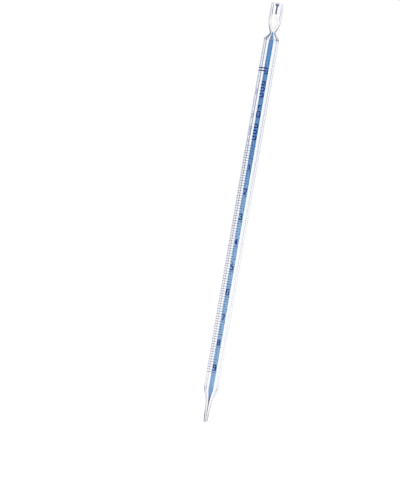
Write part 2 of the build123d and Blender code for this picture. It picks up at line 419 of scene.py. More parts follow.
class PrintedMark:
    """Enamel strokes laid on the outside of the barrel, gathered into one piece."""

    LOOP_ROUNDING = 0.32            # of a figure's loop, as a share of its smaller side
    BEND_ROUNDING = 0.58            # of an open stroke's corner, as a share of its width
    TURN_STEP = math.radians(12)    # largest turn between two points of a figure's corner

    def __init__(self, name: str, layer: EnamelLayer = EnamelLayer()) -> None:
        """Starts an empty mark.

        Args:
            name: Name of the piece that the strokes become.
            layer: How thick the enamel lies.
        """
        self.name = name
        self.layer = layer
        self.bm = bmesh.new()

    def lay(self, path: Sequence[Vector], width: float, closed: bool = False) -> None:
        """Lays one stroke along a path that is flat on the unrolled tube.

        Args:
            path: Points as (distance round the tube from the front, height).
            width: Width of the stroke.
            closed: Whether the path is a loop.
        """
        dense = spaced(path, self.layer.span, closed)
        count = len(dense)
        section = self.layer.section(width)
        rings = []
        for place, point in enumerate(dense):
            before = dense[place - 1] if closed or place else point
            after = dense[(place + 1) % count] if closed or place < count - 1 else point
            along = (after - before).normalized()
            across = Vector((along.y, -along.x))
            rings.append([self.vertex(point + across * side, above) for side, above in section])
        join_rings(self.bm, rings, closed)

    def vertex(self, flat: Vector, above: float) -> BMVert:
        """Adds a vertex at a place on the unrolled tube, a height above the glass."""
        angle = flat.x / TUBE.barrel
        return self.bm.verts.new(on_tube(TUBE.barrel + above, angle, flat.y))

    def lay_figure(self, figure: str, foot: Vector, width: float, height: float,
                   stroke: float, turned: bool = False) -> None:
        """Lays one figure.

        Args:
            figure: The figure, a key of FIGURES.
            foot: Middle of the figure's foot on the unrolled tube.
            width: Width of the figure.
            height: Height of the figure.
            stroke: Width of its strokes.
            turned: Whether it lies on its side, its foot to the right.
        """
        for pen in FIGURES[figure]:
            points = [Vector((x * (width - stroke), stroke / 2 + y * (height - stroke)))
                      for x, y in pen.points]
            if turned:
                points = [Vector((-p.y, p.x)) for p in points]
            loop_radius = self.LOOP_ROUNDING * min(width, height)
            radius = loop_radius if pen.closed else stroke * self.BEND_ROUNDING
            path = rounded_path([foot + p for p in points], [radius] * len(points), pen.closed,
                                self.TURN_STEP)
            self.lay(path, stroke, pen.closed)

    def lay_band(self, height: float, width: float, left: float, right: float) -> None:
        """Lays one line round the tube.

        Args:
            height: Height of the line's middle.
            width: Height that the line covers.
            left: Distance round the tube at which it starts.
            right: Distance round the tube at which it ends.
        """
        self.lay([Vector((left, height)), Vector((right, height))], width)

    def finish(self, material: Material, *nodes: str) -> Object:
        """Turns the strokes into a piece that stands for CAD nodes.

        Args:
            material: The piece's enamel.
            nodes: CAD nodes that the piece stands for.

        Returns:
            The finished piece.
        """
        piece = new_piece(self.name, self.bm)
        piece.data.materials.append(material)
        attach(piece, "pipette")
        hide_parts(*nodes)
        return piece


# ================================================================ node groups
def colour_socket(sockets: bpy.types.bpy_prop_collection, name: str) -> NodeSocket:
    """The colour socket of a Mix node that has a given name."""
    return next(s for s in sockets if s.name == name and s.type == "RGBA")


class Bench:
    """A node tree that is being wired up."""

    def __init__(self, tree: NodeTree) -> None:
        """Takes the tree and empties it."""
        self.tree = tree
        tree.nodes.clear()

    def add(self, kind: str, **settings: object) -> Node:
        """Adds a node.

        Args:
            kind: The node's type name.
            settings: Properties set on the node itself.

        Returns:
            The new node.
        """
        node = self.tree.nodes.new(kind)
        for key, value in settings.items():
            setattr(node, key, value)
        return node

    def link(self, source: NodeSocket, target: NodeSocket) -> None:
        """Joins an output to an input."""
        self.tree.links.new(source, target)

    def fill(self, slot: NodeSocket, value: NodeSocket | float | Sequence[float]) -> None:
        """Joins an input to a socket, or sets it to a plain value."""
        if isinstance(value, NodeSocket):
            self.link(value, slot)
        else:
            slot.default_value = value

    def feed(self, node: Node, values: Mapping[str, NodeSocket | float | Sequence[float]]
             ) -> None:
        """Fills inputs of a node by name.

        Args:
            node: The node.
            values: A socket or a plain value for each input.
        """
        for name, value in values.items():
            self.fill(node.inputs[name], value)

    def product(self, first: NodeSocket, second: NodeSocket) -> NodeSocket:
        """Multiplies two vectors part by part."""
        node = self.add("ShaderNodeVectorMath", operation="MULTIPLY")
        for slot, value in zip(node.inputs, (first, second)):
            self.link(value, slot)
        return node.outputs["Vector"]

    def parts_of(self, vector: NodeSocket) -> Mapping[str, NodeSocket]:
        """Splits a vector into its parts, named X, Y and Z."""
        split = self.add("ShaderNodeSeparateXYZ")
        self.link(vector, split.inputs["Vector"])
        return split.outputs

    def math(self, operation: str, first: NodeSocket | float, second: NodeSocket | float
             ) -> NodeSocket:
        """Adds a Math node.

        Args:
            operation: The Math node's operation.
            first: A socket or a number.
            second: A socket or a number.

        Returns:
            The node's result.
        """
        node = self.add("ShaderNodeMath", operation=operation)
        for slot, value in zip(node.inputs, (first, second)):
            self.fill(slot, value)
        return node.outputs[0]

    def ramp(self, factor: NodeSocket, span: Sequence[NodeSocket | float],
             onto: Span = (0.0, 1.0)) -> NodeSocket:
        """Maps one range of a value smoothly onto another.

        Args:
            factor: The value.
            span: Ends of its range.
            onto: What the two ends become.

        Returns:
            The mapped value.
        """
        node = self.add("ShaderNodeMapRange", interpolation_type="SMOOTHSTEP")
        names = ("Value", "From Min", "From Max", "To Min", "To Max")
        self.feed(node, dict(zip(names, (factor, *span, *onto))))
        return node.outputs["Result"]

    def mix(self, factor: NodeSocket, first: NodeSocket | Colour, second: NodeSocket | Colour
            ) -> NodeSocket:
        """Mixes two colours.

        Args:
            factor: Share of the second colour.
            first: A socket or a plain colour.
            second: A socket or a plain colour.

        Returns:
            The mixed colour.
        """
        node = self.add("ShaderNodeMix", data_type="RGBA")
        self.link(factor, node.inputs["Factor"])
        for name, colour in (("A", first), ("B", second)):
            value = colour if isinstance(colour, NodeSocket) else (*colour, 1.0)
            self.fill(colour_socket(node.inputs, name), value)
        return colour_socket(node.outputs, "Result")


class GroupKind(Enum):
    """The shared effects, each a node group."""

    DRAW_LINES = "draw_lines"
    MOTTLE = "mottle"
    HEIGHT_FADE = "height_fade"


def make_group(kind: GroupKind, inputs: Sequence[str], outputs: Sequence[str]
               ) -> ShaderNodeTree:
    """Makes an empty group tree with named number sockets.

    Args:
        kind: Which effect the group holds.
        inputs: Name of each input.
        outputs: Name of each output.

    Returns:
        The new node group.
    """
    tree = bpy.data.node_groups.new(kind.value, "ShaderNodeTree")
    for way, names in (("INPUT", inputs), ("OUTPUT", outputs)):
        for name in names:
            tree.interface.new_socket(name, in_out=way, socket_type="NodeSocketFloat")
    return tree


def draw_lines_group() -> ShaderNodeTree:
    """Faint lines along the tube, as hot glass keeps from being drawn.

    Returns:
        A group with inputs Round, Along and Detail and the output Height.
    """
    tree = make_group(GroupKind.DRAW_LINES, ["Round", "Along", "Detail"], ["Height"])
    bench = Bench(tree)
    given = bench.add("NodeGroupInput").outputs
    place = bench.add("ShaderNodeTexCoord").outputs["Object"]
    scale = bench.add("ShaderNodeCombineXYZ")
    bench.feed(scale, {"X": given["Round"], "Y": given["Round"], "Z": given["Along"]})
    stretched = bench.product(place, scale.outputs["Vector"])
    pattern = bench.add("ShaderNodeTexNoise")
    bench.feed(pattern, {"Vector": stretched, "Detail": given["Detail"], "Scale": 1.0})
    bench.link(pattern.outputs["Fac"], bench.add("NodeGroupOutput").inputs["Height"])
    return tree


NOISE_MIDDLE = 0.5      # value about which a noise texture varies
MOTTLE_GAIN = 4.0       # how far a contrast of 1 spreads it


def mottle_group() -> ShaderNodeTree:
    """Uneven patches with fine specks in them.

    Returns:
        A group with inputs Patch, Speck and Contrast and outputs Patches and Specks.
    """
    tree = make_group(GroupKind.MOTTLE, ["Patch", "Speck", "Contrast"], ["Patches", "Specks"])
    bench = Bench(tree)
    given = bench.add("NodeGroupInput").outputs
    place = bench.add("ShaderNodeTexCoord").outputs["Object"]
    given_out = bench.add("NodeGroupOutput")
    for scale_name, out_name, detail in (("Patch", "Patches", 4.0), ("Speck", "Specks", 2.0)):
        pattern = bench.add("ShaderNodeTexNoise")
        bench.feed(pattern, {"Detail": detail, "Vector": place, "Scale": given[scale_name]})
        centred = bench.math("SUBTRACT", pattern.outputs["Fac"], NOISE_MIDDLE)
        spread = bench.math("MULTIPLY", centred, given["Contrast"])
        raised = bench.math("MULTIPLY", spread, MOTTLE_GAIN)
        bench.link(bench.math("ADD", raised, NOISE_MIDDLE), given_out.inputs[out_name])
    return tree


def height_fade_group() -> ShaderNodeTree:
    """A change along the tube's height, of the stripe's colour and of the glass's painted edge
    shade.

    Returns:
        A group with inputs Low and High, in metres, and the output Fade, from 0 to 1.
    """
    tree = make_group(GroupKind.HEIGHT_FADE, ["Low", "High"], ["Fade"])
    bench = Bench(tree)
    given = bench.add("NodeGroupInput").outputs
    place = bench.add("ShaderNodeTexCoord").outputs["Object"]
    fade = bench.ramp(bench.parts_of(place)["Z"], (given["Low"], given["High"]))
    bench.link(fade, bench.add("NodeGroupOutput").inputs["Fade"])
    return tree


GROUP_MAKERS: dict[GroupKind, Callable[[], ShaderNodeTree]] = {
    GroupKind.DRAW_LINES: draw_lines_group,
    GroupKind.MOTTLE: mottle_group,
    GroupKind.HEIGHT_FADE: height_fade_group,
}


def placed_group(bench: Bench, kind: GroupKind, **values: float) -> Node:
    """Places a shared effect in a material, building its group the first time.

    Args:
        bench: The material's tree.
        kind: Which effect.
        values: The group's inputs by name.

    Returns:
        The group node.
    """
    tree = bpy.data.node_groups.get(kind.value) or GROUP_MAKERS[kind]()
    node = bench.add("ShaderNodeGroup", node_tree=tree)
    bench.feed(node, values)
    return node


# ================================================================ finishes
PLAIN_WHITE: Colour = (1.0, 1.0, 1.0)
LINE_SPAN: Span = (0.3, 0.7)        # range of the drawn lines that shows
SPECK_SPAN: Span = (0.2, 0.8)       # range of specks and patches that shows


def started_material(name: str) -> tuple[Material, Bench, Node]:
    """Makes a material with a Principled shader already joined to its output.

    Args:
        name: The material's name.

    Returns:
        The material, its bench and its shader node.
    """
    material = bpy.data.materials.new(name)
    material.use_nodes = True
    bench = Bench(material.node_tree)
    shader = bench.add("ShaderNodeBsdfPrincipled")
    out = bench.add("ShaderNodeOutputMaterial")
    bench.link(shader.outputs["BSDF"], out.inputs["Surface"])
    return material, bench, shader


def add_bump(bench: Bench, shader: Node, height: NodeSocket,
             strength: float, distance: float) -> None:
    """Joins a height to the shader's normal through a Bump node.

    Args:
        bench: The material's tree.
        shader: Its shader node.
        height: The height's socket.
        strength: The bump's strength.
        distance: The bump's depth in metres.
    """
    bump = bench.add("ShaderNodeBump")
    bench.feed(bump, {"Strength": strength, "Distance": distance, "Height": height})
    bench.link(bump.outputs["Normal"], shader.inputs["Normal"])


@dataclass(frozen=True)
class TintBand:
    """A colour that takes over along the tube, beyond a height.

    Attributes:
        colour: The colour.
        start: Height at which it begins.
        full: Height at which it has taken over. Under start, it holds for what lies lower.
    """

    colour: Colour
    start: float
    full: float


def banded(bench: Bench, colour: NodeSocket | Colour, bands: Sequence[TintBand]) -> NodeSocket:
    """Lays bands over a colour, each beyond its own height.

    Args:
        bench: The material's tree.
        colour: The colour between the bands.
        bands: The bands, from the first laid to the last.

    Returns:
        The banded colour.
    """
    for band in bands:
        low, high = sorted((band.start, band.full))
        fade = placed_group(bench, GroupKind.HEIGHT_FADE, Low=low, High=high)
        pair = (band.colour, colour) if band.full < band.start else (colour, band.colour)
        colour = bench.mix(fade.outputs["Fade"], *pair)
    return colour


@dataclass(frozen=True)
class ClearGlass:
    """Drawn borosilicate glass, clear with a breath of blue and faintly lined, its colour
    darkened by painted shade where the wall is seen edge-on.
    """

    tint: Colour = (0.995, 0.998, 1.0)
    edge_tint: Colour = (0.28, 0.34, 0.42)      # painted shade where the wall is seen at a grazing angle
    edge_bands: tuple[TintBand, ...] = (
        TintBand((0.92, 0.93, 0.95), start=215 * MM, full=140 * MM),        # painted edge shade, almost none on the lower barrel
        TintBand((0.10, 0.10, 0.18), start=31 * MM, full=24 * MM),          # painted edge shade, dark on the thick cone
        TintBand((0.90, 0.92, 0.95), start=291.5 * MM, full=293.5 * MM),    # painted edge shade, almost none on the thin flare
        TintBand((0.08, 0.11, 0.18), start=299 * MM, full=304 * MM),        # painted edge shade, dark on the thick head
    )
    edge_span: Span = (0.48, 0.85)      # shares of a grazing view between which the painted shade sets in
    streaks: Span = (0.85, 1.0)         # strength of the painted edge shade in and between the lines
    index: float = 1.474
    wiped: Span = (0.45, 0.95)          # patches that wiping has left a little dull
    wipe_roughness: float = 0.012
    line_strength: float = 0.25
    line_depth: float = 0.004 * MM

    def material(self) -> Material:
        """Builds the glass."""
        material, bench, shader = started_material("clear_borosilicate")
        shader.inputs["Transmission Weight"].default_value = 1.0
        shader.inputs["Metallic"].default_value = 0.0
        lines = placed_group(bench, GroupKind.DRAW_LINES, Round=700.0, Along=4.0, Detail=2.0)
        wear = placed_group(bench, GroupKind.MOTTLE, Patch=220.0, Speck=5000.0, Contrast=0.6)
        # Painted shade: where the wall is seen edge-on, the colour darkens towards the painted
        # edge shade, which draws the tube's outlines.
        view = bench.add("ShaderNodeLayerWeight")
        view.inputs["Blend"].default_value = 0.5
        grazing = bench.ramp(view.outputs["Facing"], self.edge_span)
        streak = bench.ramp(lines.outputs["Height"], LINE_SPAN, self.streaks)
        edge = banded(bench, self.edge_tint, self.edge_bands)
        colour = bench.mix(bench.math("MULTIPLY", grazing, streak), self.tint, edge)
        rough = bench.ramp(wear.outputs["Patches"], self.wiped, (0.0, self.wipe_roughness))
        bench.feed(shader, {"Base Color": colour, "Roughness": rough, "IOR": self.index})
        add_bump(bench, shader, lines.outputs["Height"], self.line_strength, self.line_depth)
        return material


@dataclass(frozen=True)
class StripeGlass:
    """Opaque blue glass, streaked lengthways where it was drawn with the tube, with painted
    shade on the side that faces away from the tube.
    """

    deep: Colour = (0.001, 0.22, 0.65)
    light: Colour = (0.006, 0.31, 0.78)
    bands: tuple[TintBand, ...] = (
        TintBand((0.24, 0.56, 0.95), start=205 * MM, full=150 * MM),    # drawn thin and pale
        TintBand((0.03, 0.03, 0.05), start=22 * MM, full=14 * MM),      # a thin smoky line
        TintBand((0.001, 0.045, 0.22), start=287 * MM, full=298 * MM),  # drawn thick and dark
    )
    outer_shade: Colour = (0.40, 0.50, 0.70)    # painted shade on the side that faces away from the tube
    outer_span: Span = (-0.2, 0.2)              # backward share of a normal at the change to the painted shade
    roughness: Span = (0.22, 0.34)
    sheen: float = 0.25
    line_strength: float = 0.3
    line_depth: float = 0.01 * MM

    def material(self) -> Material:
        """Builds the stripe's glass."""
        material, bench, shader = started_material("blue_stripe_glass")
        lines = placed_group(bench, GroupKind.DRAW_LINES, Round=1600.0, Along=9.0, Detail=4.0)
        streak = bench.ramp(lines.outputs["Height"], LINE_SPAN)
        colour = banded(bench, bench.mix(streak, self.deep, self.light), self.bands)
        # Painted shade: the side that faces away from the tube takes a darker copy of the same
        # blue.
        facing = bench.add("ShaderNodeNewGeometry")
        outer = bench.ramp(bench.parts_of(facing.outputs["Normal"])["Y"], self.outer_span)
        shade = bench.mix(outer, PLAIN_WHITE, self.outer_shade)
        rough = bench.ramp(lines.outputs["Height"], SPECK_SPAN, self.roughness)
        bench.feed(shader, {"Base Color": bench.product(colour, shade), "Roughness": rough,
                            "Specular IOR Level": self.sheen})
        add_bump(bench, shader, lines.outputs["Height"], self.line_strength, self.line_depth)
        return material


def mottled_material(name: str, colours: tuple[Colour, Colour], roughness: Span,
                     **pattern: float) -> tuple[Material, Bench, Node, Node]:
    """Starts a material whose colour varies in patches and its roughness in specks.

    Args:
        name: The material's name.
        colours: The two colours of its patches.
        roughness: The least and the most of its specks.
        pattern: Inputs of the mottle group by name.

    Returns:
        The material, its bench, its shader node and its mottle node.
    """
    material, bench, shader = started_material(name)
    wear = placed_group(bench, GroupKind.MOTTLE, **pattern)
    bench.feed(shader, {"Base Color": bench.mix(wear.outputs["Patches"], *colours),
                        "Roughness": bench.ramp(wear.outputs["Specks"], SPECK_SPAN, roughness)})
    return material, bench, shader, wear


@dataclass(frozen=True)
class FiredEnamel:
    """Dark violet-blue enamel, screened onto the glass and fired, thin at its edges."""

    colours: tuple[Colour, Colour] = ((0.003, 0.016, 0.14), (0.012, 0.036, 0.24))
    cover: Span = (1.0, 0.88)       # share of the light stopped, thick to thin
    roughness: Span = (0.28, 0.5)
    sheen: float = 0.3
    grain_strength: float = 0.35
    grain_depth: float = 0.006 * MM

    def material(self) -> Material:
        """Builds the enamel."""
        material, bench, shader, wear = mottled_material(
            "fired_enamel", self.colours, self.roughness, Patch=900.0, Speck=14000.0,
            Contrast=0.7)
        cover = bench.ramp(wear.outputs["Patches"], SPECK_SPAN, self.cover)
        bench.feed(shader, {"Alpha": cover, "Specular IOR Level": self.sheen})
        add_bump(bench, shader, wear.outputs["Specks"], self.grain_strength, self.grain_depth)
        return material


@dataclass(frozen=True)
class CottonWool:
    """Absorbent cotton, off-white and full of fine hair."""

    colours: tuple[Colour, Colour] = ((0.84, 0.825, 0.80), (0.93, 0.925, 0.915))
    roughness: Span = (0.8, 1.0)
    sheen: float = 0.2
    sheen_roughness: float = 0.5
    hair_strength: float = 0.6
    hair_depth: float = 0.08 * MM

    def material(self) -> Material:
        """Builds the cotton."""
        material, bench, shader, wear = mottled_material(
            "cotton_wool", self.colours, self.roughness, Patch=900.0, Speck=9000.0,
            Contrast=0.6)
        bench.feed(shader, {"Sheen Weight": self.sheen,
                            "Sheen Roughness": self.sheen_roughness})
        add_bump(bench, shader, wear.outputs["Specks"], self.hair_strength, self.hair_depth)
        return material


@dataclass(frozen=True)
class PaleBoard:
    """The plain white board that the pipette is shown on, clear when seen from below."""

    colours: tuple[Colour, Colour] = ((0.90, 0.90, 0.90), (0.92, 0.92, 0.92))
    roughness: Span = (0.7, 0.9)
    glow: float = 0.4

    def material(self) -> Material:
        """Builds the board."""
        material, bench, shader, _ = mottled_material(
            "pale_board", self.colours, self.roughness, Patch=12.0, Speck=400.0, Contrast=0.4)
        side = bench.add("ShaderNodeNewGeometry")
        above = bench.math("SUBTRACT", 1.0, side.outputs["Backfacing"])
        bench.feed(shader, {"Emission Color": (*PLAIN_WHITE, 1.0), "Alpha": above,
                            "Emission Strength": self.glow})
        return material


# ================================================================ sub-assemblies
@dataclass
class GlassTube:
    """The one drawn piece of glass: tip, cone, barrel, shoulder, neck and mouthpiece."""

    segments: int = 144
    finish: ClearGlass = ClearGlass()

    def build(self) -> Object:
        """Turns the tube's whole outline round its axis.

        Returns:
            The glass piece, dressed and riding on the pipette.
        """
        loop = outline(TUBE.outside() + TUBE.inside(), closed=True)
        bm = bmesh.new()
        turns = full_turn(self.segments)
        rings = [[bm.verts.new(on_tube(p.x, turn, p.y)) for turn in turns] for p in loop]
        join_rings(bm, rings, closed=True)
        piece = new_piece("drawn_glass_tube", bm)
        piece.data.materials.append(self.finish.material())
        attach(piece, "pipette")
        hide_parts("glass_body")
        return piece


@dataclass
class BackStripe:
    """The strip of blue glass on the back of the tube, drawn down with it."""

    half_angle: float = math.radians(23)
    narrow_half_angle: float = math.radians(9.5)
    narrow_from: float = 290.6 * MM
    narrow_to: float = 310.1 * MM
    widening: float = 0.5 * MM      # height over which its width changes
    tip_half_angle: float = math.radians(12)
    tip_from: float = 24 * MM       # height under which it is drawn out thin
    tip_full: float = 13 * MM
    columns: int = 20
    gap: float = 0.003 * MM
    thickness: float = 0.02 * MM
    margin: float = 0.5 * MM        # it stops this far short of the tube's two ends
    row_span: float = 1.5 * MM
    finish: StripeGlass = StripeGlass()

    def rows(self) -> list[Vector]:
        """Points of the tube's outside between the stripe's two ends."""
        path = outline(TUBE.outside(), closed=False, longest=self.row_span)
        low, high = self.margin, TOP_Z - self.margin
        kept = [p for p in path if low < p.y < high]
        edges = [low, high]
        for turn_z in (self.narrow_from, self.narrow_to):
            edges += [turn_z - self.widening / 2, turn_z + self.widening / 2]
        kept += [Vector((radius_at(path, z), z)) for z in edges]
        return sorted(kept, key=lambda p: p.y)

    def half_angle_at(self, height: float) -> float:
        """Half of the angle that the stripe covers at a height."""
        into = clamped((height - self.narrow_from) / self.widening + 0.5)
        out = clamped((height - self.narrow_to) / self.widening + 0.5)
        narrowed = into - out
        drawn_out = clamped((self.tip_from - height) / (self.tip_from - self.tip_full))
        wide = self.half_angle + (self.tip_half_angle - self.half_angle) * drawn_out
        return wide + (self.narrow_half_angle - wide) * narrowed

    def build(self) -> Object:
        """Builds the strip as a closed skin on the back of the glass.

        Returns:
            The stripe, dressed and riding on the pipette.
        """
        bm = bmesh.new()
        rings = []
        for p in self.rows():
            half = self.half_angle_at(p.y)
            turns = [math.pi + half * (2 * n / self.columns - 1)
                     for n in range(self.columns + 1)]
            inner = p.x + self.gap
            outer = inner + self.thickness
            front = [bm.verts.new(on_tube(outer, turn, p.y)) for turn in turns]
            back = [bm.verts.new(on_tube(inner, turn, p.y)) for turn in reversed(turns)]
            rings.append(front + back)
        join_rings(bm, rings)
        piece = new_piece("blue_back_stripe", bm)
        piece.data.materials.append(self.finish.material())
        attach(piece, "pipette")
        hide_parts("blue_stripe")
        return piece


@dataclass
class CottonPlug:
    """The wad of cotton that is packed into the mouthpiece."""

    around: int = 72
    up: int = 90
    middle: float = 0.12 * MM       # radius of the small flat at each end
    inset: float = 0.1 * MM         # how far the ends stay inside the plug's box
    foot: float = 0.8 * MM
    foot_rounding: float = 0.35 * MM
    flare_z: float = 298.4 * MM
    flare_rounding: float = 6 * MM
    crown_rounding: float = 0.9 * MM
    lumps: float = 0.16 * MM
    lump_sizes: tuple[Span, ...] = ((1.6 * MM, 0.7), (0.7 * MM, 0.3))   # size and share
    fuzz: float = 0.05 * MM
    fuzz_size: float = 0.18 * MM
    least_radius: float = 0.05 * MM
    fibres: int = 420
    fibre_radius: float = 0.014 * MM
    fibre_taper: float = 0.6
    fibre_points: int = 10
    fibre_step: float = 0.22 * MM
    fibre_curl: float = 0.35
    fibre_slope: float = 0.8        # spread of a hair's first heading up and down
    fibre_depth: Span = (0.55, 1.0)     # where it starts, as a share of the wad's radius
    bald_rows: int = 10             # rows at the foot from which no hair starts
    bald_height: float = 1.5 * MM   # and how far above the foot every hair stays
    seed: int = 11
    finish: CottonWool = CottonWool()

    def profile(self) -> list[Vector]:
        """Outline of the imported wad, from its foot in the neck to its crown."""
        low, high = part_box("cotton_plug")
        corners = [
            Corner(self.middle, low.z + self.inset),
            Corner(self.foot, low.z + self.inset, self.foot_rounding),
            Corner(high.x, self.flare_z, self.flare_rounding),
            Corner(high.x, high.z - self.inset, self.crown_rounding),
            Corner(self.middle, high.z - self.inset),
        ]
        return outline(corners, closed=False, longest=(high.z - low.z) / self.up)

    def surface_point(self, p: Vector, turn: float) -> Vector:
        """A point of the wad's surface, pushed in and out as packed cotton is.

        Args:
            p: The outline's point, as (radius, height).
            turn: Angle round the axis.

        Returns:
            The point in the row frame.
        """
        plain = on_tube(p.x, turn, p.y)
        lump = sum(noise.noise(plain / size) * share for size, share in self.lump_sizes)
        fuzz = noise.noise(plain / self.fuzz_size)
        push = -abs(lump) * self.lumps - (fuzz + 1) / 2 * self.fuzz
        radius = max(self.least_radius, p.x + push)
        return on_tube(radius, turn, p.y + lump * self.lumps / 2)

    def wad(self, bm: BMesh) -> None:
        """Adds the wad's closed surface to a bmesh."""
        turns = full_turn(self.around)
        rings = [[bm.verts.new(self.surface_point(p, turn)) for turn in turns]
                 for p in self.profile()]
        join_rings(bm, rings)

    def fibre(self, bm: BMesh, path: Sequence[Vector]) -> None:
        """Adds one hair as a thin three-sided tube along a path."""
        rings = []
        for place, point in enumerate(path):
            ahead = path[min(place + 1, len(path) - 1)] - path[max(place - 1, 0)]
            side = ahead.orthogonal().normalized()
            up = ahead.cross(side).normalized()
            thin = 1.0 - self.fibre_taper * place / (len(path) - 1)
            spokes = [side * math.cos(turn) + up * math.sin(turn) for turn in full_turn(3)]
            rings.append([bm.verts.new(point + spoke * self.fibre_radius * thin)
                          for spoke in spokes])
        join_rings(bm, rings)

    def fibre_paths(self) -> Iterator[list[Vector]]:
        """Curling hairs that lie over the wad and stand a little off its crown."""
        low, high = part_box("cotton_plug")
        rng = random.Random(self.seed)
        hairy_part = self.profile()[self.bald_rows:]
        for _ in range(self.fibres):
            start = rng.choice(hairy_part)
            turn = rng.uniform(0, math.tau)
            point = on_tube(start.x * rng.uniform(*self.fibre_depth), turn, start.y)
            heading = Vector([rng.gauss(0, spread) for spread in (1, 1, self.fibre_slope)])
            heading.normalize()
            path = []
            for _ in range(self.fibre_points):
                path.append(point)
                curl = Vector([rng.gauss(0, 1) for _ in range(3)])
                heading = (heading + curl * self.fibre_curl).normalized()
                point = point + heading * self.fibre_step
                reach = math.hypot(point.x, point.y)
                if reach > high.x:
                    point.x *= high.x / reach
                    point.y *= high.x / reach
                point.z = min(max(point.z, low.z + self.bald_height), high.z)
            yield path

    def build(self) -> Object:
        """Builds the plug with its loose hairs.

        Returns:
            The plug, dressed and riding on its own body.
        """
        bm = bmesh.new()
        self.wad(bm)
        for path in self.fibre_paths():
            self.fibre(bm, path)
        piece = new_piece("cotton_wool_plug", bm)
        piece.data.materials.append(self.finish.material())
        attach(piece, "plug")
        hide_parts("cotton_plug")
        return piece


@dataclass
class PrintedScale:
    """Graduation lines, numerals and the small 0 of the scale."""

    enamel: Material
    capacity: int = 10
    steps: int = 10
    line_width: float = 0.27 * MM
    left: float = math.radians(-76)
    minor_right: float = 0.0
    beside_numeral: float = math.radians(-22)
    long_right: float = math.radians(20)
    numeral_width: float = 2.7 * MM
    numeral_height: float = 5.0 * MM
    numeral_rise: float = 1.0 * MM
    numeral_offset: float = -0.3 * MM
    stroke: float = 0.85 * MM
    # Width, height and stroke of the small 0.
    zero_size: tuple[float, float, float] = (1.3 * MM, 2.2 * MM, 0.35 * MM)

    def zero_line(self) -> float:
        """Height of the 0 line, from the top of the CAD's millilitre lines."""
        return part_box("major_graduations")[1].z - self.line_width / 2

    def pitch(self) -> float:
        """Height of one millilitre."""
        return MILLILITRE / (math.pi * TUBE.bore**2)

    def line_end(self, step: int) -> float:
        """Angle at which a step's line ends on the right; steps count down from 0."""
        if step % (self.steps // 2) == 0:
            return self.long_right
        rise = (self.steps - step % self.steps) * self.pitch() / self.steps
        beside = rise < self.numeral_rise + self.numeral_height + self.line_width
        return self.beside_numeral if beside else self.minor_right

    def lines(self, name: str, node: str, wanted: Callable[[int], bool]) -> Object:
        """Builds one kind of line as one piece.

        Args:
            name: The piece's name.
            node: The CAD node that it stands for.
            wanted: Says whether a step has this kind of line.

        Returns:
            The finished piece.
        """
        mark = PrintedMark(name)
        for step in range((self.capacity - 1) * self.steps + 1):
            if wanted(step):
                height = self.zero_line() - step * self.pitch() / self.steps
                mark.lay_band(height, self.line_width, self.left * TUBE.barrel,
                              self.line_end(step) * TUBE.barrel)
        return mark.finish(self.enamel, node)

    def numeral(self, value: int) -> Object:
        """Builds the numeral that stands above its millilitre's line."""
        mark = PrintedMark(f"scale_numeral_{value}")
        foot = Vector((self.numeral_offset,
                       self.zero_line() - value * self.pitch() + self.numeral_rise))
        mark.lay_figure(str(value), foot, self.numeral_width, self.numeral_height, self.stroke)
        return mark.finish(self.enamel, f"numeral_{value}")

    def zero(self) -> Object:
        """Builds the small 0 at the left of the 0 line."""
        low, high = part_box("zero_mark")
        angle = math.asin((low.x + high.x) / 2 / TUBE.barrel)
        width, height, stroke = self.zero_size
        mark = PrintedMark("zero_figure")
        mark.lay_figure("0", Vector((angle * TUBE.barrel, low.z)), width, height, stroke)
        return mark.finish(self.enamel, "zero_mark")

    def build(self) -> list[Object]:
        """Builds the whole scale.

        Returns:
            Its pieces.
        """
        half = self.steps // 2
        return [
            self.lines("tenth_lines", "minor_graduations", lambda s: s % half != 0),
            self.lines("half_lines", "half_graduations", lambda s: s % self.steps == half),
            self.lines("millilitre_lines", "major_graduations", lambda s: s % self.steps == 0),
            self.zero(),
            *(self.numeral(value) for value in range(1, self.capacity)),
        ]


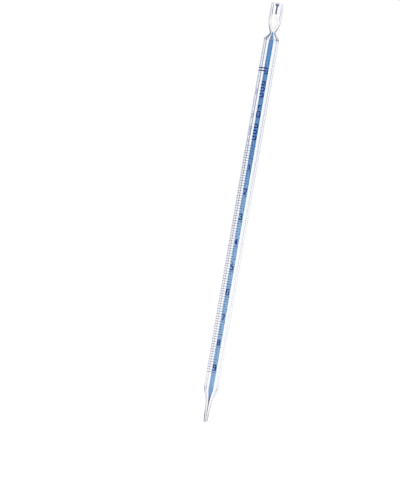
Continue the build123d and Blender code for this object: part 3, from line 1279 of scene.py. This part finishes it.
@dataclass
class TubeMarkings:
    """Code rings, the capacity figures and the plain blocks above the scale."""

    enamel: Material
    ring_left: float = math.radians(-100)
    ring_right: float = math.radians(16)
    bar_left: float = math.radians(-12)
    bar_right: float = math.radians(18)
    stroke: float = 0.85 * MM
    figure_length: float = 5.0 * MM
    figure_step: float = 6.0 * MM
    block_count: int = 3
    block_length: float = 3.2 * MM
    block_bar: float = 0.9 * MM
    block_rounding: float = 0.55    # of a block's corners, as a share of its bar
    block_step: float = 4.5 * MM
    side_left: float = math.radians(-60)
    side_right: float = math.radians(-38)
    side_bar: float = 0.32 * MM
    side_step: float = 0.9 * MM
    # Height of each group's lowest bar and how many bars the group has.
    side_groups: tuple[tuple[float, int], ...] = (
        (243.6 * MM, 5), (226.4 * MM, 4), (213.6 * MM, 8))

    def ring(self, name: str, node: str, left: float, right: float) -> Object:
        """Builds one ring or bar round the tube.

        Args:
            name: The piece's name.
            node: The CAD node that it stands for, which gives its height.
            left: Angle at which it starts.
            right: Angle at which it ends.

        Returns:
            The finished piece.
        """
        low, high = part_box(node)
        mark = PrintedMark(name)
        mark.lay_band(middle_height(node), high.z - low.z, left * TUBE.barrel,
                      right * TUBE.barrel)
        return mark.finish(self.enamel, node)

    def capacity_figures(self) -> Object:
        """Builds the figures 10, turned so that they read along the tube."""
        low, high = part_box("capacity_marking")
        across = high.x - low.x
        mark = PrintedMark("capacity_figures")
        for place, name in enumerate("01"):
            foot = Vector((high.x, low.z + self.figure_length / 2 + place * self.figure_step))
            mark.lay_figure(name, foot, self.figure_length, across, self.stroke, turned=True)
        return mark.finish(self.enamel, "capacity_marking")

    def blocks(self) -> Object:
        """Builds the plain three-sided blocks in two groups."""
        low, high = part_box("label_blocks")
        inset = self.block_bar / 2
        left, right = low.x, high.x - inset
        first = low.z + self.block_length / 2
        last = high.z - self.block_length / 2 - (self.block_count - 1) * self.block_step
        mark = PrintedMark("plain_label_blocks")
        for start in (first, last):
            for place in range(self.block_count):
                middle = start + place * self.block_step
                foot = middle - self.block_length / 2 + inset
                head = middle + self.block_length / 2 - inset
                points = [Vector((left, foot)), Vector((right, foot)), Vector((right, head)),
                          Vector((left, head))]
                rounding = self.block_bar * self.block_rounding
                path = rounded_path(points, [rounding] * len(points), closed=False)
                mark.lay(path, self.block_bar)
        return mark.finish(self.enamel, "label_blocks")

    def side_bars(self) -> Object:
        """Builds the groups of small plain bars at the left."""
        mark = PrintedMark("plain_side_bars")
        for first, count in self.side_groups:
            for place in range(count):
                mark.lay_band(first + place * self.side_step, self.side_bar,
                              self.side_left * TUBE.barrel, self.side_right * TUBE.barrel)
        return mark.finish(self.enamel, "side_label")

    def build(self) -> list[Object]:
        """Builds every marking above the scale.

        Returns:
            Its pieces.
        """
        return [
            self.ring("upper_ring", "upper_code_ring", self.ring_left, self.ring_right),
            self.ring("lower_ring", "lower_code_ring", self.ring_left, self.ring_right),
            self.ring("short_code_bar", "code_bar", self.bar_left, self.bar_right),
            self.capacity_figures(),
            self.blocks(),
            self.side_bars(),
        ]


# ================================================================ studio
@dataclass(frozen=True)
class TentPanel:
    """One upright panel of the white tent.

    Attributes:
        degrees: Where it stands within each quarter turn, from -45 to 45.
        colour: Its brightness in red, green and blue.
    """

    degrees: float
    colour: Colour


@dataclass(frozen=True)
class TentLayer:
    """A layer of the tent above or below the horizon: grey belt, bright roof or pale ground.

    Attributes:
        start: Upward share of a direction at which the layer begins.
        full: Upward share at which it is complete.
        colour: Its brightness in red, green and blue.
        share: How far it covers what is behind it, where it is complete.
    """

    start: float
    full: float
    colour: Colour
    share: float = 1.0


@dataclass
class Studio:
    """White board, soft surrounding light and the camera."""

    board_radius: float = 2.5
    board_sides: int = 96
    board_gap: float = 0.1 * MM
    camera_distance: float = 2.2
    half_view: float = math.radians(4.772)
    lean: float = math.radians(9.83)
    aim_across: float = -0.0813     # share of the pipette's length, from its axis
    aim_up: float = 0.397           # share of the pipette's length, from its tip
    sensor: float = 36.0
    white: float = 1.0
    open_fill: float = 0.78         # light on surfaces in the open
    glass_fill: float = 1.78        # light on surfaces behind glass, whose wall turns some away
    one_bounce: float = 0.5         # a count of bounces above this means at least one
    lamp_power: float = 1.0
    lamp_size: Span = (0.5, 0.8)
    lamp_place: tuple[float, float, float] = (-0.7, -0.8, 0.75)
    tent: tuple[TentPanel, ...] = (
        TentPanel(-45, (1.00, 1.02, 1.08)),
        TentPanel(-40, (0.80, 0.84, 0.92)),
        TentPanel(-34, (0.24, 0.28, 0.36)),
        TentPanel(-17, (0.20, 0.23, 0.31)),
        TentPanel(-13, (1.05, 1.02, 1.04)),
        TentPanel(0, (0.92, 0.99, 1.08)),
        TentPanel(11, (1.04, 1.07, 1.10)),
        TentPanel(13.5, (0.66, 0.69, 0.80)),
        TentPanel(16, (1.00, 0.95, 0.92)),
        TentPanel(20, (0.92, 0.90, 0.93)),
        TentPanel(24, (1.10, 1.10, 1.12)),
        TentPanel(45, (1.10, 1.10, 1.12)),
    )
    layers: tuple[TentLayer, ...] = (
        TentLayer(0.05, -0.03, (1.02, 1.02, 1.04), share=0.5),
        TentLayer(0.28, 0.38, (0.17, 0.155, 0.24)),
        TentLayer(0.62, 0.80, (1.5, 1.5, 1.5)),
        TentLayer(-0.34, -0.44, (0.80, 0.80, 0.86)),
    )

    def board(self) -> None:
        """Builds the white board under the tip."""
        bm = bmesh.new()
        bmesh.ops.create_circle(bm, cap_ends=True, radius=self.board_radius,
                                segments=self.board_sides)
        floor = new_piece("pale_floor", bm, smooth=False)
        floor.location.z = CAD_BOX[0].z - self.board_gap
        floor.data.materials.append(PaleBoard().material())
        floor.visible_transmission = False
        floor.visible_glossy = False

    def tent_colour(self, bench: Bench, direction: NodeSocket) -> NodeSocket:
        """Colour of the tent's panels and layers in a direction.

        Args:
            bench: The world's tree.
            direction: The direction's socket.

        Returns:
            The colour's socket.
        """
        parts = bench.parts_of(direction)
        angle = bench.math("ARCTAN2", parts["X"], parts["Y"])
        quarters = bench.math("DIVIDE", angle, math.pi / 2)
        shifted = bench.math("ADD", quarters, 0.5)
        within = bench.math("SUBTRACT", shifted, bench.math("FLOOR", shifted, 0.0))
        panels = bench.add("ShaderNodeValToRGB")
        bench.link(within, panels.inputs["Fac"])
        stops = panels.color_ramp.elements
        for place, panel in enumerate(self.tent):
            at = panel.degrees / 90 + 0.5
            stop = stops[place] if place < 2 else stops.new(at)
            stop.position = at
            stop.color = (*panel.colour, 1.0)
        colour = panels.outputs["Color"]
        for layer in self.layers:
            share = bench.ramp(parts["Z"], (layer.start, layer.full), (0.0, layer.share))
            colour = bench.mix(share, colour, layer.colour)
        return colour

    def surroundings(self) -> None:
        """Lights the scene with a white tent that has soft grey panels.

        Sight lines that go straight to the tent see plain white. What the glass bends or
        mirrors sees the panels and layers, which draw the edges of the tube. Scattered light
        is an even white, stronger behind glass than in the open.
        """
        world = bpy.data.worlds.new("white_tent")
        bpy.context.scene.world = world
        world.use_nodes = True
        bench = Bench(world.node_tree)
        direction = bench.add("ShaderNodeTexCoord").outputs["Generated"]
        path = bench.add("ShaderNodeLightPath").outputs
        scattered, behind_glass = (
            bench.math("GREATER_THAN", path[f"{kind} Depth"], self.one_bounce)
            for kind in ("Diffuse", "Transmission"))
        fill = bench.ramp(behind_glass, (0.0, 1.0),
                          (self.open_fill - self.white, self.glass_fill - self.white))
        lift = bench.math("MULTIPLY", scattered, fill)
        soft = bench.add("ShaderNodeBackground")
        bent = bench.add("ShaderNodeBackground")
        bench.feed(soft, {"Color": (*PLAIN_WHITE, 1.0),
                          "Strength": bench.math("ADD", lift, self.white)})
        bench.feed(bent, {"Color": self.tent_colour(bench, direction)})
        direct = bench.math("MAXIMUM", path["Is Camera Ray"], scattered)
        join = bench.add("ShaderNodeMixShader")
        out = bench.add("ShaderNodeOutputWorld")
        bench.link(direct, join.inputs["Fac"])
        bench.link(bent.outputs["Background"], join.inputs[1])
        bench.link(soft.outputs["Background"], join.inputs[2])
        bench.link(join.outputs["Shader"], out.inputs["Surface"])

    def soft_box(self) -> None:
        """Hangs a large soft light above and to the left, in front."""
        lamp = bpy.data.lights.new("soft_box", "AREA")
        lamp.shape = "RECTANGLE"
        lamp.size, lamp.size_y = self.lamp_size
        lamp.energy = self.lamp_power
        light = bpy.data.objects.new("soft_box", lamp)
        bpy.context.scene.collection.objects.link(light)
        light.location = Vector(self.lamp_place)
        aim = Vector((0, 0, TOP_Z / 2)) - light.location
        light.rotation_euler = aim.to_track_quat("-Z", "Y").to_euler()

    def camera(self) -> None:
        """Stands the camera in front, level with the tube and rolled so that it leans."""
        lens = bpy.data.cameras.new("front_camera")
        lens.sensor_width = self.sensor
        lens.lens = self.sensor / 2 / math.tan(self.half_view)
        camera = bpy.data.objects.new("front_camera", lens)
        bpy.context.scene.collection.objects.link(camera)
        length = CAD_BOX[1].z - CAD_BOX[0].z
        aim = Vector((self.aim_across * length, 0.0, CAD_BOX[0].z + self.aim_up * length))
        ahead = Vector((0, 1, 0))
        up = Vector((-math.sin(self.lean), 0, math.cos(self.lean)))
        right = ahead.cross(up)
        turn = Matrix((right, up, -ahead)).transposed()
        place = Matrix.Translation(aim - ahead * self.camera_distance)
        camera.matrix_world = place @ turn.to_4x4()
        bpy.context.scene.camera = camera

    def build(self) -> None:
        """Sets up the whole studio."""
        self.camera()
        self.board()
        self.surroundings()
        self.soft_box()
        bpy.context.scene.view_settings.view_transform = "Standard"


# ================================================================ main
def report(piece: Object) -> None:
    """Logs one finished piece."""
    log.info("%s: %d faces, rides on %s", piece.name, len(piece.data.polygons),
             piece["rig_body"])


def main() -> None:
    """Builds the studio and every piece."""
    logging.basicConfig(level=logging.INFO, format="%(name)s: %(message)s")
    Studio().build()
    enamel = FiredEnamel().material()
    pieces = [GlassTube().build(), BackStripe().build(), CottonPlug().build()]
    pieces += TubeMarkings(enamel).build()
    pieces += PrintedScale(enamel).build()
    for piece in pieces:
        report(piece)


if __name__ == "__main__":
    main()
